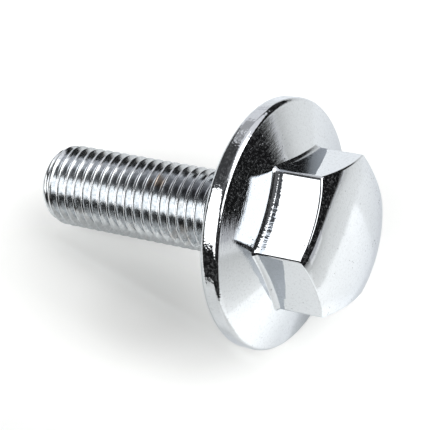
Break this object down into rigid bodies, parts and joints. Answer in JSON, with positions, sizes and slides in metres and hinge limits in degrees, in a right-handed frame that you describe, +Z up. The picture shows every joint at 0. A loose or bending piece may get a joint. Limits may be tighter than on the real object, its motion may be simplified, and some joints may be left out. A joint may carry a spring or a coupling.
{
  "type": "steering yoke bolt",
  "caption": "Chrome flange bolt with a domed hexagon head, a wide conical flange and a fine metric thread, for fixing a steering yoke.",
  "frame": {"origin": "on the surface that the bolt lies on, below the middle of its length", "axes": "+Z up, +X along the bolt towards its head, +Y across it; the screw axis lies in the XZ plane and rises 19.1 degrees towards the head"},
  "size_m": [0.0426, 0.03, 0.0288],
  "materials": {
    "chrome": "bright chrome plate on a forged steel bolt, duller and slightly mottled on the rolled thread"
  },
  "bodies": {
    "root": {"bolt": "chrome"}
  },
  "joints": []
}
